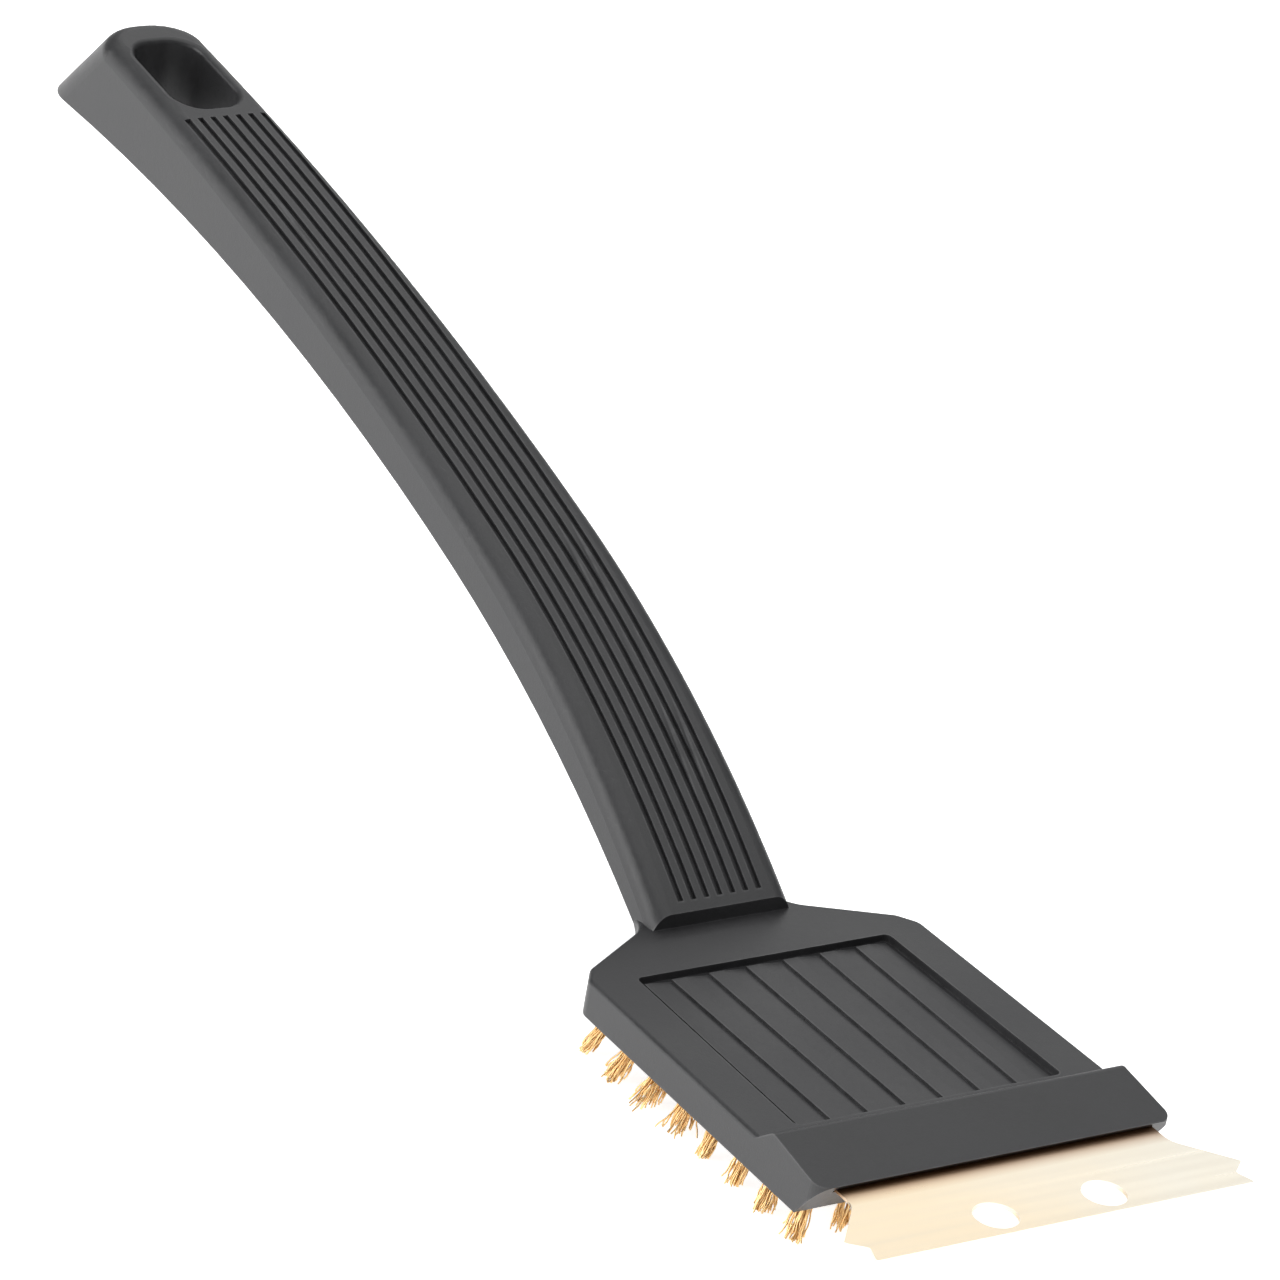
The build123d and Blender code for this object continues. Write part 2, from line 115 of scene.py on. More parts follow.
# %% The moulded grain group
def build_grain_group():
    group, entry, leave = new_group(
        "Moulded grain",
        [("Vector", "Vector", None), ("Grain per metre", "Float", 2600.0),
         ("Waves per metre", "Float", 45.0)],
        [("Height", "Float"), ("Mottle", "Float")])
    fine = add(group, "ShaderNodeTexNoise", in_3=3.0, in_4=0.6)
    coarse = add(group, "ShaderNodeTexNoise", in_3=4.0, in_4=0.55)
    coarse_scale = add(group, "ShaderNodeMath", operation="MULTIPLY", in_1=0.22)
    wave = add(group, "ShaderNodeTexNoise", in_3=2.0, in_4=0.5)
    join(group, entry.outputs["Grain per metre"], coarse_scale.inputs[0])
    for node, scale in ((fine, entry.outputs["Grain per metre"]), (coarse, coarse_scale.outputs[0]),
                        (wave, entry.outputs["Waves per metre"])):
        join(group, entry.outputs["Vector"], node.inputs["Vector"])
        join(group, scale, node.inputs["Scale"])
    height = sum_of(group, fine.outputs[0], coarse.outputs[0], 0.8)
    join(group, height, leave.inputs["Height"])
    mottle = sum_of(group, wave.outputs[0], coarse.outputs[0], 0.45)
    join(group, mottle, leave.inputs["Mottle"])
    return group


grain_group = build_grain_group()
print("made", grain_group.name)

# %% [markdown]
# **Edge polish.** Hands and the tray it is stored in rub the corners first. A Bevel node bends the normal
# only near an edge, so where it leaves the true normal there is an edge. The group turns that into a mask
# and roughens it with noise, because no real edge wears evenly.

# %% The edge polish group
EDGE_STARTS = 0.997                       # cosine between the bent and the true normal
EDGE_FULL = 0.93


def build_edge_group():
    group, entry, leave = new_group(
        "Edge polish",
        [("Vector", "Vector", None), ("Width", "Float", 0.0006), ("Breaks per metre", "Float", 260.0)],
        [("Mask", "Float")])
    bevel = add(group, "ShaderNodeBevel", samples=6)
    true = add(group, "ShaderNodeNewGeometry")
    dot = add(group, "ShaderNodeVectorMath", operation="DOT_PRODUCT")
    noise = add(group, "ShaderNodeTexNoise", in_3=4.0)
    spread = add(group, "ShaderNodeMapRange", in_1=EDGE_STARTS, in_2=EDGE_FULL, in_3=0.0, in_4=1.0)
    breaks = add(group, "ShaderNodeMapRange", in_1=0.36, in_2=0.62, in_3=0.25, in_4=1.0)
    both = add(group, "ShaderNodeMath", operation="MULTIPLY")
    join(group, entry.outputs["Width"], bevel.inputs["Radius"])
    join(group, bevel.outputs[0], dot.inputs[0])
    join(group, true.outputs["True Normal"], dot.inputs[1])
    join(group, dot.outputs["Value"], spread.inputs[0])
    join(group, entry.outputs["Vector"], noise.inputs["Vector"])
    join(group, entry.outputs["Breaks per metre"], noise.inputs["Scale"])
    join(group, noise.outputs[0], breaks.inputs[0])
    join(group, spread.outputs[0], both.inputs[0])
    join(group, breaks.outputs[0], both.inputs[1])
    join(group, both.outputs[0], leave.inputs["Mask"])
    return group


edge_group = build_edge_group()
print("made", edge_group.name)

# %% [markdown]
# **Drawn lines.** Rolled sheet, drawn wire and turned screws all carry fine parallel lines. A noise that
# is squeezed along one axis and stretched along another draws them. The stretch is an input, so the
# same group gives long lines on the scraper and short ones on a wire.

# %% The drawn lines group
def build_lines_group():
    group, entry, leave = new_group(
        "Drawn lines",
        [("Vector", "Vector", None), ("Stretch", "Vector", (1.0, 0.02, 1.0)),
         ("Lines per metre", "Float", 3000.0)],
        [("Height", "Float"), ("Streak", "Float")])
    squeeze = add(group, "ShaderNodeVectorMath", operation="MULTIPLY")
    fine = add(group, "ShaderNodeTexNoise", in_3=5.0, in_4=0.65)
    broad_scale = add(group, "ShaderNodeMath", operation="MULTIPLY", in_1=0.09)
    broad = add(group, "ShaderNodeTexNoise", in_3=3.0, in_4=0.5)
    join(group, entry.outputs["Vector"], squeeze.inputs[0])
    join(group, entry.outputs["Stretch"], squeeze.inputs[1])
    join(group, entry.outputs["Lines per metre"], broad_scale.inputs[0])
    for node, scale in ((fine, entry.outputs["Lines per metre"]), (broad, broad_scale.outputs[0])):
        join(group, squeeze.outputs[0], node.inputs["Vector"])
        join(group, scale, node.inputs["Scale"])
    join(group, fine.outputs[0], leave.inputs["Height"])
    join(group, broad.outputs[0], leave.inputs["Streak"])
    return group


lines_group = build_lines_group()
print("made", lines_group.name)

# %% [markdown]
# ## Materials
# Every material starts the same way: a Principled shader that reads Object coordinates. The helpers below
# place a group, tie a Bump to a height and ramp between two colours.

# %% Helpers for materials
def new_material(name, metallic, roughness, specular=0.5):
    material = bpy.data.materials.new(name)
    material.use_nodes = True
    tree = material.node_tree
    shader = tree.nodes["Principled BSDF"]
    shader.inputs["Metallic"].default_value = metallic
    shader.inputs["Roughness"].default_value = roughness
    shader.inputs["Specular IOR Level"].default_value = specular
    place = add(tree, "ShaderNodeTexCoord").outputs["Object"]
    return material, tree, shader, place


def use_group(tree, group, place, **values):
    node = add(tree, "ShaderNodeGroup", node_tree=group)
    join(tree, place, node.inputs["Vector"])
    for key, value in values.items():
        node.inputs[key.replace("_", " ")].default_value = value
    return node


def blend_colours(tree, factor, low, high, first, second):
    """The first colour where factor is at or under low, the second where it is at or over high."""
    ramp = add(tree, "ShaderNodeValToRGB")
    ramp.color_ramp.elements[0].position = low
    ramp.color_ramp.elements[1].position = high
    ramp.color_ramp.elements[0].color = (*first, 1)
    ramp.color_ramp.elements[1].color = (*second, 1)
    join(tree, factor, ramp.inputs[0])
    return ramp.outputs[0]


def mix_colours(tree, factor, first, second):
    mix = add(tree, "ShaderNodeMix", data_type="RGBA")
    join(tree, factor, mix.inputs[0])
    for value, socket in ((first, mix.inputs[6]), (second, mix.inputs[7])):
        if isinstance(value, tuple):
            socket.default_value = (*value, 1)
        else:
            join(tree, value, socket)
    return mix.outputs[2]


def spread_value(tree, value, low, high, first, second):
    node = add(tree, "ShaderNodeMapRange", in_1=low, in_2=high, in_3=first, in_4=second)
    join(tree, value, node.inputs[0])
    return node.outputs[0]


def bump(tree, shader, height, distance, strength=1.0):
    node = add(tree, "ShaderNodeBump")
    node.inputs["Distance"].default_value = distance
    node.inputs["Strength"].default_value = strength
    join(tree, height, node.inputs["Height"])
    join(tree, node.outputs[0], shader.inputs["Normal"])


def paint(name, material):
    """Gives one CAD node its finish."""
    node = nodes[name]
    node.data.materials.clear()
    node.data.materials.append(material)
    print(name, "has", material.name)

# %% [markdown]
# **The black moulding** is a filled resin with a satin, almost dry face. It looks dark grey rather than
# black, because at a shallow angle it mirrors the bright floor. The grain breaks that up, the mottle moves
# the gloss a little every few centimetres, and the ribs and corners are rubbed smoother and paler.

# %% Black resin
def black_resin():
    material, tree, shader, place = new_material("moulded black resin", 0.0, 0.4)
    grain = use_group(tree, grain_group, place)
    edges = use_group(tree, edge_group, place, Width=0.0007)
    base = blend_colours(tree, grain.outputs["Mottle"], 0.45, 1.0,
                         (0.021, 0.021, 0.022), (0.034, 0.034, 0.036))
    colour = mix_colours(tree, edges.outputs["Mask"], base, (0.062, 0.062, 0.064))
    join(tree, colour, shader.inputs["Base Color"])
    dull = spread_value(tree, grain.outputs["Mottle"], 0.45, 1.0, 0.37, 0.5)
    rubbed = add(tree, "ShaderNodeMath", operation="MULTIPLY_ADD", in_1=-0.1)
    join(tree, edges.outputs["Mask"], rubbed.inputs[0])
    join(tree, dull, rubbed.inputs[2])
    join(tree, rubbed.outputs[0], shader.inputs["Roughness"])
    bump(tree, shader, grain.outputs["Height"], 0.00003)
    return material


paint("brush_body", black_resin())

# %% [markdown]
# ** The scraper** is cut from bright cold-rolled sheet, brushed along its length, with cut edges that stay
# cleaner than its faces. Heat from the grill has left a straw tint that is warmer towards one end. Where the
# blade leaves the block, a brown band is painted on as painted shade and painted reflection of the dark
# block.

# %% Scraper steel
NOSE_X = body_high.x
# Painted shade: the brown band past the nose stands in for the block's shadow and its dark reflection.
NOSE_SHADE_REACH = 0.0055                      # how far past the nose the brown fades out


def scraper_steel():
    material, tree, shader, place = new_material("brushed scraper steel", 1.0, 0.3)
    lines = use_group(tree, lines_group, place, Stretch=(1.0, 0.015, 1.0), Lines_per_metre=3200.0)
    edges = use_group(tree, edge_group, place, Width=0.0003)
    cloud = add(tree, "ShaderNodeTexNoise", in_2=38.0, in_3=3.0)
    join(tree, place, cloud.inputs["Vector"])
    split = add(tree, "ShaderNodeSeparateXYZ")
    join(tree, place, split.inputs[0])
    along = spread_value(tree, split.outputs["Y"], blade_low.y, blade_high.y, 1.0, 0.0)
    heat = sum_of(tree, along, cloud.outputs[0], 0.5)
    tint = blend_colours(tree, heat, 0.2, 1.25, (0.93, 0.9, 0.8), (1.0, 0.84, 0.6))
    streaks = spread_value(tree, lines.outputs["Streak"], 0.3, 0.7, 0.0, 0.35)
    colour = mix_colours(tree, streaks, tint, (0.84, 0.78, 0.67))
    bright = mix_colours(tree, edges.outputs["Mask"], colour, (0.95, 0.93, 0.88))
    # Painted shade and reflection: a brown band on the blade just past the nose, in place of the block's
    # shadow and mirror image.
    near_nose = spread_value(tree, split.outputs["X"], NOSE_X, NOSE_X + NOSE_SHADE_REACH, 0.9, 0.0)
    with_nose_shade = mix_colours(tree, near_nose, bright, (0.42, 0.2, 0.08))
    join(tree, with_nose_shade, shader.inputs["Base Color"])
    dull = spread_value(tree, lines.outputs["Streak"], 0.25, 0.75, 0.24, 0.4)
    join(tree, dull, shader.inputs["Roughness"])
    bump(tree, shader, lines.outputs["Height"], 0.000012)
    return material


paint("scraper_blade", scraper_steel())

# %% [markdown]
# **The screws** are turned, so their heads carry rings round their own middle. A Mapping node moves the
# pattern's centre to each screw, and the distance from the axis then drives the drawn lines.

# %% Turned screws
SCREWS = ("blade_screw_right", "blade_screw_middle", "blade_screw_left")


def turned_steel(screw):
    low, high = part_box(screw)
    middle = (low + high) / 2
    material, tree, shader, place = new_material(f"turned steel {screw}", 1.0, 0.35)
    centre = add(tree, "ShaderNodeMapping", in_1=(-middle.x, -middle.y, -middle.z))
    join(tree, place, centre.inputs[0])
    split = add(tree, "ShaderNodeSeparateXYZ")
    join(tree, centre.outputs[0], split.inputs[0])
    flat = add(tree, "ShaderNodeCombineXYZ")
    join(tree, split.outputs["X"], flat.inputs["X"])
    join(tree, split.outputs["Y"], flat.inputs["Y"])
    radius = add(tree, "ShaderNodeVectorMath", operation="LENGTH")
    join(tree, flat.outputs[0], radius.inputs[0])
    rings = add(tree, "ShaderNodeCombineXYZ")
    join(tree, radius.outputs["Value"], rings.inputs["X"])
    join(tree, split.outputs["Z"], rings.inputs["Z"])
    lines = use_group(tree, lines_group, rings.outputs[0], Stretch=(1.0, 1.0, 0.4), Lines_per_metre=5200.0)
    edges = use_group(tree, edge_group, place, Width=0.0002)
    worn = blend_colours(tree, lines.outputs["Streak"], 0.3, 0.7, (0.50, 0.50, 0.49), (0.66, 0.66, 0.64))
    colour = mix_colours(tree, edges.outputs["Mask"], worn, (0.82, 0.82, 0.80))
    join(tree, colour, shader.inputs["Base Color"])
    join(tree, spread_value(tree, lines.outputs["Streak"], 0.3, 0.7, 0.28, 0.42), shader.inputs["Roughness"])
    bump(tree, shader, lines.outputs["Height"], 0.00002)
    return material


for screw in SCREWS:
    paint(screw, turned_steel(screw))

# %% [markdown]
# ** Brass wire.** The wire is brass-plated, darker and browner towards the roots and bright and pale towards
# the tips. Each wire knows how far along it a point is, from 0 at the root to 1 at the tip, and the material
# reads that as an attribute.

# %% Brass
def brass_wire():
    material, tree, shader, place = new_material("drawn brass wire", 1.0, 0.3)
    lines = use_group(tree, lines_group, place, Stretch=(1.0, 1.0, 0.08), Lines_per_metre=6000.0)
    along = add(tree, "ShaderNodeAttribute", attribute_name="along").outputs["Fac"]
    shade = add(tree, "ShaderNodeAttribute", attribute_name="shade").outputs["Fac"]
    tone = sum_of(tree, along, shade, 0.6)
    # Darker and browner towards the roots, paler towards the tips, with a random tone for each wire.
    clean = blend_colours(tree, tone, 0.15, 1.35, (0.50, 0.24, 0.07), (0.93, 0.66, 0.33))
    streaks = spread_value(tree, lines.outputs["Streak"], 0.35, 0.7, 0.0, 0.5)
    join(tree, mix_colours(tree, streaks, clean, (0.62, 0.36, 0.14)), shader.inputs["Base Color"])
    join(tree, spread_value(tree, tone, 0.0, 1.4, 0.42, 0.24), shader.inputs["Roughness"])
    bump(tree, shader, lines.outputs["Height"], 0.00001)
    return material


def anchor_brass():
    material, tree, shader, place = new_material("flat brass anchor", 1.0, 0.35)
    lines = use_group(tree, lines_group, place, Stretch=(1.0, 0.05, 1.0), Lines_per_metre=5000.0)
    colour = blend_colours(tree, lines.outputs["Streak"], 0.3, 0.7, (0.45, 0.28, 0.10), (0.66, 0.46, 0.20))
    join(tree, colour, shader.inputs["Base Color"])
    join(tree, spread_value(tree, lines.outputs["Streak"], 0.3, 0.7, 0.3, 0.45), shader.inputs["Roughness"])
    bump(tree, shader, lines.outputs["Height"], 0.00001)
    return material


wire_brass = brass_wire()
plain_brass = anchor_brass()
for i in range(1, ROWS + 1):
    paint(f"anchor_row_{i}", plain_brass)

# %% [markdown]
# ## The wires
# CAD keeps each tuft as one cone, which is right for its weight and room but not for its look. The real
# tuft is a bundle of some forty crimped wires that leave the bore together and splay out. They are the
# one thing on the brush that repeats thousands of times, so Geometry Nodes make them.
#
# The tree starts from eight points, the mouths of one row's bores. Each point becomes many, each of those
# becomes a short line, and every point of a line is then moved by a rule: out from the bore, over with
# the tuft's lean, sideways with the crimp. Last, the lines become round wires.

# %% Helpers for geometry nodes
def wire_inputs(tree):
    """The tree's named inputs, all sizes in metres."""
    for label, kind, default in (
            ("Geometry", "Geometry", None), ("Wires per tuft", "Int", 40), ("Points per wire", "Int", 9),
            ("Length", "Float", WIRE_LENGTH),
            ("Root radius", "Float", 0.0019), ("Tip radius", "Float", 0.003),
            ("Wire radius", "Float", 0.00019), ("Crimp", "Float", 0.00022), ("Uneven tips", "Float", 0.0016),
            ("Seed", "Int", 1), ("Material", "Material", None)):
        socket = tree.interface.new_socket(label, in_out="INPUT", socket_type="NodeSocket" + kind)
        if default is not None:
            socket.default_value = default
    tree.interface.new_socket("Geometry", in_out="OUTPUT", socket_type="NodeSocketGeometry")


class Wiring:
    """Short words for the nodes of one geometry tree."""

    def __init__(self, tree):
        self.tree = tree
        self.entry = tree.nodes.new("NodeGroupInput")

    def value(self, name):
        return self.entry.outputs[name]

    def math(self, operation, *terms):
        node = add(self.tree, "ShaderNodeMath", operation=operation)
        for socket, term in zip(node.inputs, terms):
            self.feed(term, socket)
        return node.outputs[0]

    def vector(self, operation, first, second):
        node = add(self.tree, "ShaderNodeVectorMath", operation=operation)
        self.feed(first, node.inputs[0])
        self.feed(second, node.inputs["Scale"] if operation == "SCALE" else node.inputs[1])
        return node.outputs[0]

    def combine(self, x, y, z):
        node = add(self.tree, "ShaderNodeCombineXYZ")
        for socket, term in zip(node.inputs, (x, y, z)):
            self.feed(term, socket)
        return node.outputs[0]

    def feed(self, term, socket):
        if isinstance(term, (int, float, tuple)):
            socket.default_value = term
        else:
            join(self.tree, term, socket)

    def chance(self, low, high, step):
        """A random number for each point. The step keeps one throw apart from another."""
        node = add(self.tree, "FunctionNodeRandomValue", data_type="FLOAT")
        node.inputs[2].default_value = low
        node.inputs[3].default_value = high
        seed = self.math("ADD", self.value("Seed"), float(step))
        join(self.tree, seed, node.inputs["Seed"])
        return node.outputs[1]

    def stored(self, name, kind="FLOAT"):
        node = add(self.tree, "GeometryNodeInputNamedAttribute", data_type=kind)
        node.inputs["Name"].default_value = name
        return node.outputs["Attribute"]

    def store(self, geometry, name, value, kind="FLOAT"):
        node = add(self.tree, "GeometryNodeStoreNamedAttribute", data_type=kind, domain="POINT")
        node.inputs["Name"].default_value = name
        join(self.tree, geometry, node.inputs["Geometry"])
        join(self.tree, value, node.inputs["Value"])
        return node.outputs[0]

# %% [markdown]
# The first half of the tree makes the starting points and gives every wire its own numbers: where it sits
# in the bore, how far it strays, when its crimp starts, how long it is and how clean it is.

# %% The tree, first half: one point for each wire
def scatter_wires(w):
    many = add(w.tree, "GeometryNodeDuplicateElements", domain="POINT")
    join(w.tree, w.value("Geometry"), many.inputs["Geometry"])
    join(w.tree, w.value("Wires per tuft"), many.inputs["Amount"])
    points = many.outputs["Geometry"]
    points = w.store(points, "root", add(w.tree, "GeometryNodeInputPosition").outputs[0], "FLOAT_VECTOR")
    turn = w.chance(0.0, 2 * math.pi, 0)
    out = w.math("SQRT", w.chance(0.0, 1.0, 7))
    disc = w.combine(w.math("MULTIPLY", w.math("COSINE", turn), out),
                     w.math("MULTIPLY", w.math("SINE", turn), out), 0.0)
    points = w.store(points, "side", disc, "FLOAT_VECTOR")
    stray_x = w.math("POWER", w.chance(-1.0, 1.0, 13), 3.0)
    stray_y = w.math("POWER", w.chance(-1.0, 1.0, 19), 3.0)
    points = w.store(points, "stray", w.combine(stray_x, stray_y, 0.0), "FLOAT_VECTOR")
    points = w.store(points, "crimp_start", w.chance(0.0, 2 * math.pi, 29))
    points = w.store(points, "short_by", w.math("POWER", w.chance(0.0, 1.0, 37), 2.0))
    return w.store(points, "shade", w.chance(0.0, 1.0, 43))

# %% [markdown]
# The second half draws the wires. With t running from 0 in the bore to 1 at the tip, a wire leaves the
# bore straight and bends away as t grows, so each sideways move is multiplied by a power of t.

# %% The tree, second half: from points to round wires
RING_SIDES = 5                            # a wire is too thin to need more
SPREAD_POWER = 1.5
LEAN_POWER = 1.3
STRAY_POWER = 2.0
CRIMP_TURN = 13.0                         # radians of crimp along a wire, about two waves


def draw_wires(w, points):
    line = add(w.tree, "GeometryNodeCurvePrimitiveLine")
    steps = add(w.tree, "GeometryNodeResampleCurve")
    join(w.tree, line.outputs[0], steps.inputs["Curve"])
    join(w.tree, w.value("Points per wire"), steps.inputs["Count"])
    place = add(w.tree, "GeometryNodeInstanceOnPoints")
    join(w.tree, points, place.inputs["Points"])
    join(w.tree, steps.outputs[0], place.inputs["Instance"])
    real = add(w.tree, "GeometryNodeRealizeInstances")
    join(w.tree, place.outputs[0], real.inputs[0])
    t = add(w.tree, "GeometryNodeSplineParameter").outputs["Factor"]
    curves = w.store(real.outputs[0], "along", t)
    moved = add(w.tree, "GeometryNodeSetPosition")
    join(w.tree, curves, moved.inputs["Geometry"])
    join(w.tree, wire_path(w, t), moved.inputs["Position"])
    ring = add(w.tree, "GeometryNodeCurvePrimitiveCircle", mode="RADIUS")
    ring.inputs["Resolution"].default_value = RING_SIDES
    join(w.tree, w.value("Wire radius"), ring.inputs["Radius"])
    tube = add(w.tree, "GeometryNodeCurveToMesh")
    tube.inputs["Fill Caps"].default_value = True
    join(w.tree, moved.outputs[0], tube.inputs["Curve"])
    join(w.tree, ring.outputs[0], tube.inputs["Profile Curve"])
    return tube.outputs[0]


def wire_path(w, t):
    """Where the point at t stands: root, spread, lean, stray and crimp added up."""
    bend = w.math("POWER", t, SPREAD_POWER)
    inner = w.math("MULTIPLY", w.value("Root radius"), w.math("SUBTRACT", 1.0, bend))
    outer = w.math("MULTIPLY", w.math("MULTIPLY", w.value("Tip radius"), w.stored("spread")), bend)
    spread = w.vector("SCALE", w.stored("side", "FLOAT_VECTOR"), w.math("ADD", inner, outer))
    lean = w.vector("SCALE", w.stored("lean", "FLOAT_VECTOR"), w.math("POWER", t, LEAN_POWER))
    loose = w.math("MULTIPLY", w.stored("spread"), w.value("Uneven tips"))
    wild = w.math("MULTIPLY", loose, w.math("POWER", t, STRAY_POWER))
    stray = w.vector("SCALE", w.stored("stray", "FLOAT_VECTOR"), wild)
    wave = w.math("ADD", w.math("MULTIPLY", t, CRIMP_TURN), w.stored("crimp_start"))
    size = w.math("MULTIPLY", w.value("Crimp"), t)
    crimp = w.combine(w.math("MULTIPLY", w.math("SINE", wave), size),
                      w.math("MULTIPLY", w.math("COSINE", wave), size), 0.0)
    missing = w.math("MULTIPLY", w.value("Uneven tips"), w.stored("short_by"))
    reach = w.math("SUBTRACT", w.value("Length"), missing)
    down = w.combine(0.0, 0.0, w.math("MULTIPLY", w.math("MULTIPLY", reach, t), -1.0))
    path = w.stored("root", "FLOAT_VECTOR")
    for part in (spread, lean, stray, crimp, down):
        path = w.vector("ADD", path, part)
    return path


def build_wire_tree():
    tree = bpy.data.node_groups.new("Tuft wires", "GeometryNodeTree")
    wire_inputs(tree)
    w = Wiring(tree)
    mesh = draw_wires(w, scatter_wires(w))
    smooth = add(tree, "GeometryNodeSetShadeSmooth")
    join(tree, mesh, smooth.inputs["Geometry"])
    real = add(tree, "GeometryNodeRealizeInstances")
    join(tree, smooth.outputs[0], real.inputs[0])
    finish = add(tree, "GeometryNodeSetMaterial")
    join(tree, real.outputs[0], finish.inputs["Geometry"])
    join(tree, w.value("Material"), finish.inputs["Material"])
    leave = tree.nodes.new("NodeGroupOutput")
    join(tree, finish.outputs[0], leave.inputs[0])
    return tree


wire_tree = build_wire_tree()
print("the wire tree has", len(wire_tree.nodes), "nodes")

# %% [markdown]
# Each row starts from a mesh of eight loose points. A tuft leans out the more it stands at a side, and no
# two tufts are equally open: use has left some tight and some splayed. Those two facts are stored on the
# points, so the tree finds them there.

# %% One row of tufts
ANCHOR_WIDTH = 0.003                      # the flat wire across each bore, as CAD has it
BORE_MARGIN = 0.0013                      # the wires start this far up inside the bore
OUTWARD_LEAN = math.radians(21)           # lean of the outermost tufts
FORE_AFT_LEAN = math.radians(12)          # lean of the first and last rows
LEAN_GROWTH = 1.5                         # over 1, so that the middle tufts stand nearly upright
SPREADS = (0.55, 1.25, 0.8, 1.1, 0.5, 0.95, 1.35, 0.7)
SEED_STEP = 100                           # keeps one row's throws apart from the next


def signed_power(value, power):
    return math.copysign(abs(value) ** power, value)


def row_points(row):
    """Eight points at the mouths of one row's bores, with each tuft's lean and spread."""
    low, high = anchor_boxes[row]
    first = anchor_boxes[0][0].x
    last = anchor_boxes[-1][1].x
    x = (low.x + high.x) / 2
    half = (high.y - low.y - ANCHOR_WIDTH) / 2
    along = 2 * (x - first) / (last - first) - 1
    mesh = bpy.data.meshes.new(f"row {row + 1} points")
    places = [(x, (2 * k / (COLUMNS - 1) - 1) * half, UNDERSIDE + BORE_MARGIN) for k in range(COLUMNS)]
    mesh.from_pydata(places, [], [])
    mesh.attributes.new("lean", "FLOAT_VECTOR", "POINT")
    mesh.attributes.new("spread", "FLOAT", "POINT")
    lean = mesh.attributes["lean"]
    spread = mesh.attributes["spread"]
    for k, (px, py, pz) in enumerate(places):
        out = WIRE_LENGTH * math.tan(OUTWARD_LEAN) * signed_power(py / half, LEAN_GROWTH)
        fore = WIRE_LENGTH * math.tan(FORE_AFT_LEAN) * signed_power(along, LEAN_GROWTH)
        lean.data[k].vector = (fore, out, 0)
        spread.data[k].value = SPREADS[(3 * row + 5 * k) % len(SPREADS)]
    return mesh


def settle(piece):
    """Turns what the modifier makes into the piece's own mesh, and removes the modifier."""
    seen = piece.evaluated_get(bpy.context.evaluated_depsgraph_get())
    solid = bpy.data.meshes.new_from_object(seen)
    points = piece.data
    piece.modifiers.clear()
    piece.data = solid
    bpy.data.meshes.remove(points)
    solid.name = piece.name


def make_row(row):
    piece = bpy.data.objects.new(f"wire_tufts_{row + 1}", row_points(row))
    bpy.context.scene.collection.objects.link(piece)
    modifier = piece.modifiers.new("wires", "NODES")
    modifier.node_group = wire_tree
    sockets = {s.name: s.identifier for s in wire_tree.interface.items_tree if s.in_out == "INPUT"}
    modifier[sockets["Length"]] = WIRE_LENGTH + BORE_MARGIN
    modifier[sockets["Seed"]] = SEED_STEP * (row + 1)
    modifier[sockets["Material"]] = wire_brass
    bpy.context.view_layer.update()
    settle(piece)
    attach(piece, "root")
    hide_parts(f"tuft_row_{row + 1}")
    return piece


wire_rows = [make_row(row) for row in range(ROWS)]
print("triangles in one row:", sum(len(p.vertices) - 2 for p in wire_rows[0].data.polygons))

# %% [markdown]
# ## The studio
# The floor is plain and pale, and it glows a little, as a light table does. So shadows on it stay faint,
# and the satin plastic has something bright to mirror. It carries the faintest unevenness, as a painted
# board has.

# %% Floor
FLOOR_GLOW = 0.85
FLOOR_HALF = 9.0
FLOOR_GAP = 0.0004                        # the tips stand just clear of the floor


def floor_paint():
    material, tree, shader, place = new_material("pale studio floor", 0.0, 0.75, 0.2)
    tone = add(tree, "ShaderNodeTexNoise", in_2=3.0, in_3=3.0)
    join(tree, place, tone.inputs["Vector"])
    colour = blend_colours(tree, tone.outputs[0], 0.3, 0.7, (0.86, 0.86, 0.86), (0.89, 0.89, 0.89))
    join(tree, colour, shader.inputs["Base Color"])
    shader.inputs["Emission Color"].default_value = (1, 1, 1, 1)
    shader.inputs["Emission Strength"].default_value = FLOOR_GLOW
    return material


def make_floor():
    mesh = bpy.data.meshes.new("floor")
    corners = [(FLOOR_HALF * x, FLOOR_HALF * y) for x, y in ((-1, -1), (1, -1), (1, 1), (-1, 1))]
    mesh.from_pydata([(x, y, TIP_LEVEL - FLOOR_GAP) for x, y in corners], [], [(0, 1, 2, 3)])
    mesh.materials.append(floor_paint())
    floor = bpy.data.objects.new("studio_floor", mesh)
    bpy.context.scene.collection.objects.link(floor)
    return floor


floor = make_floor()
print("the floor lies", round(1000 * FLOOR_GAP, 1), "mm below the tips")

# %% [markdown]
# The camera stands off the front left corner, a little over 25 degrees up, and is rolled so that the brush
# runs from corner to corner. A long lens keeps the handle's far end nearly as large as the head.

# %% Camera
AIM = Vector((0.0298, 0.0084, 0.0564))
DISTANCE = 1.56
TURN = math.radians(-37.8)                # heading of the camera from +X
HEIGHT = math.radians(25.54)
ROLL = math.radians(10.24)
SENSOR = 36.0
LENS = 196.9


def camera_turn():
    """The camera's right, up and back directions as one rotation."""
    back = Vector((math.cos(HEIGHT) * math.cos(TURN), math.cos(HEIGHT) * math.sin(TURN), math.sin(HEIGHT)))
    level = Vector((-back.y, back.x, 0)).normalized()
    upright = back.cross(level)
    right = level * math.cos(ROLL) + upright * math.sin(ROLL)
    up = upright * math.cos(ROLL) - level * math.sin(ROLL)
    return right, up, back


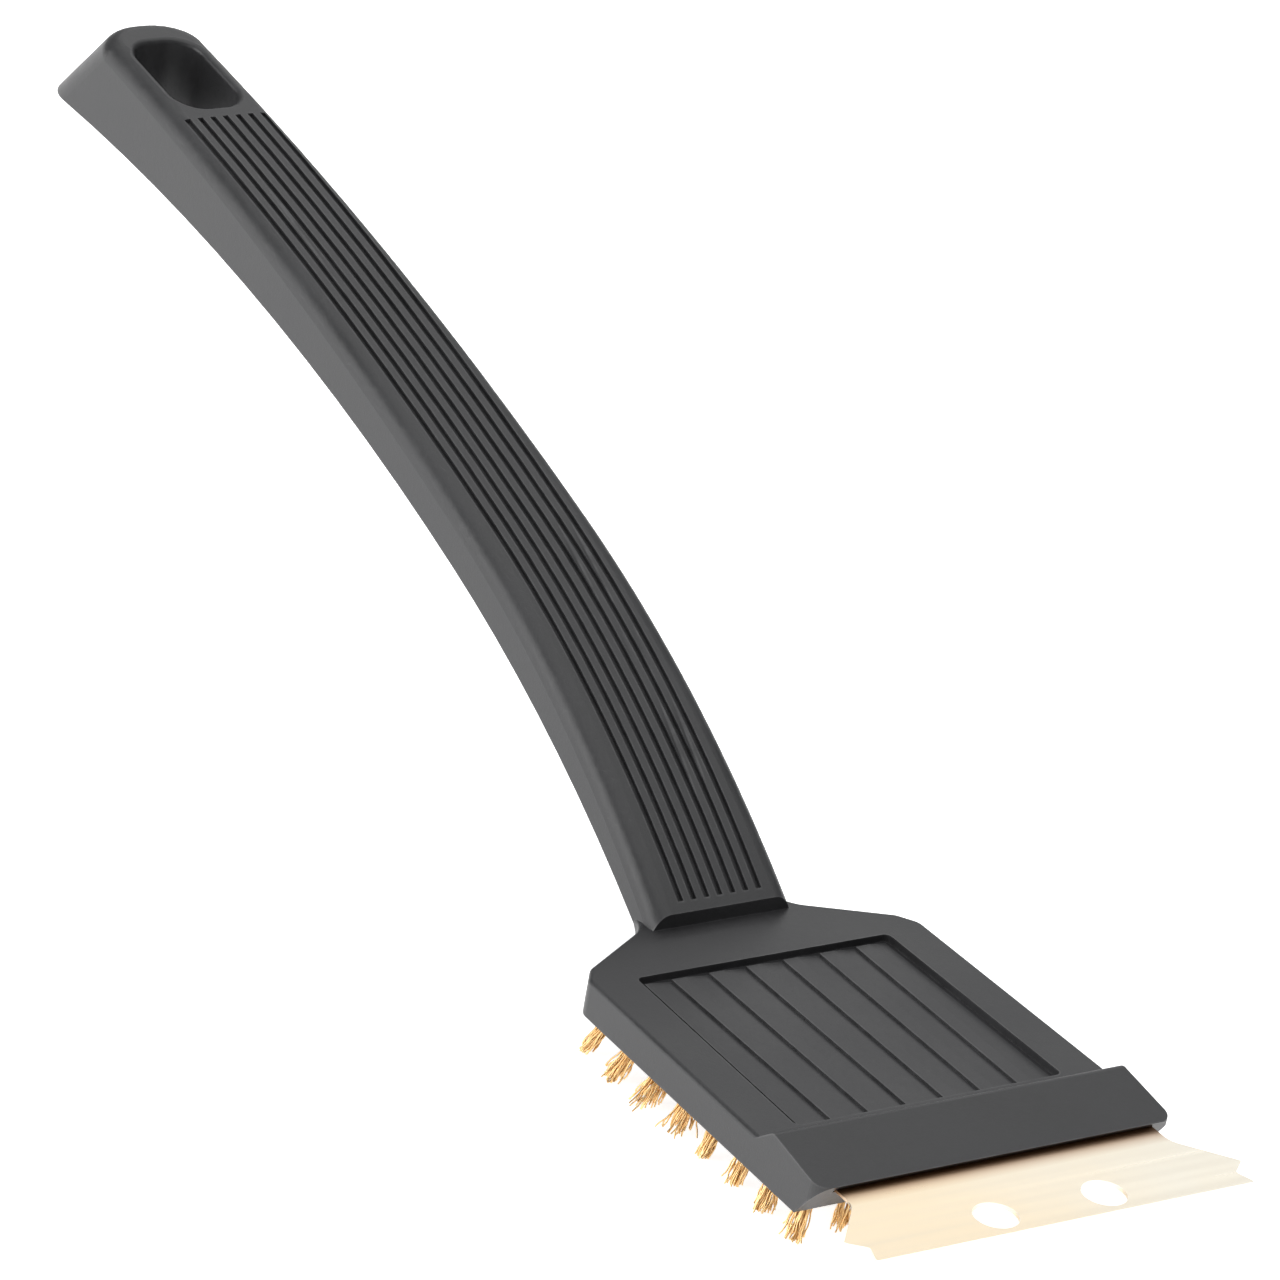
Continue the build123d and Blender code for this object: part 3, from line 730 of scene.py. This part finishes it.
def place_camera():
    right, up, back = camera_turn()
    data = bpy.data.cameras.new("camera")
    data.sensor_width = SENSOR
    data.lens = LENS
    data.clip_end = 60
    camera = bpy.data.objects.new("camera", data)
    bpy.context.scene.collection.objects.link(camera)
    matrix = camera.matrix_world.copy()
    for column, axis in enumerate((right, up, back, AIM + back * DISTANCE)):
        for line in range(3):
            matrix[line][column] = axis[line]
    camera.matrix_world = matrix
    bpy.context.scene.camera = camera
    return camera


camera = place_camera()
print("camera at", [round(v, 3) for v in camera.matrix_world.translation])

# %% [markdown]
# A satin black part is drawn by what it mirrors. Its sides mirror the bright floor, its flat top mirrors
# a softbox behind it, and its rounded shoulders mirror the dim room between them and stay dark. So the
# surround is dim, a wide light overhead brings out the tops and the wires, a second one fills from the
# left, and one softbox stands at the back.

# %% Lights
HEAD_MIDDLE = Vector((0.05, 0.0, 0.02))
SUN_DISTANCE = 3.0                        # a sun lights the same from anywhere, so this only clears the view
SOFTBOX_DISTANCE = 4.0


def aimed(name, data, direction, distance):
    """A light that stands in a direction from the head and looks at it."""
    light = bpy.data.objects.new(name, data)
    towards = Vector(direction).normalized()
    light.location = HEAD_MIDDLE + towards * distance
    light.rotation_euler = (-towards).to_track_quat("-Z", "Y").to_euler()
    bpy.context.scene.collection.objects.link(light)
    return light


def soft_sun(name, direction, strength, spread):
    data = bpy.data.lights.new(name, "SUN")
    data.energy = strength
    data.angle = math.radians(spread)
    return aimed(name, data, direction, SUN_DISTANCE)


def back_softbox():
    data = bpy.data.lights.new("softbox", "AREA")
    data.shape = "DISK"
    data.size = 2.2
    data.energy = 11
    return aimed("softbox", data, (-0.71, 0.55, 0.43), SOFTBOX_DISTANCE)


def dim_surround():
    world = bpy.data.worlds.new("dim surround")
    world.use_nodes = True
    background = world.node_tree.nodes["Background"]
    background.inputs["Color"].default_value = (0.97, 0.985, 1.0, 1)
    background.inputs["Strength"].default_value = 0.25
    bpy.context.scene.world = world


soft_sun("overhead", (0.0, 0.1, 1.0), 1.7, 85)
soft_sun("left_fill", (-0.25, -0.95, 0.14), 2.6, 60)
back_softbox()
dim_surround()
bpy.context.scene.view_settings.view_transform = "Standard"
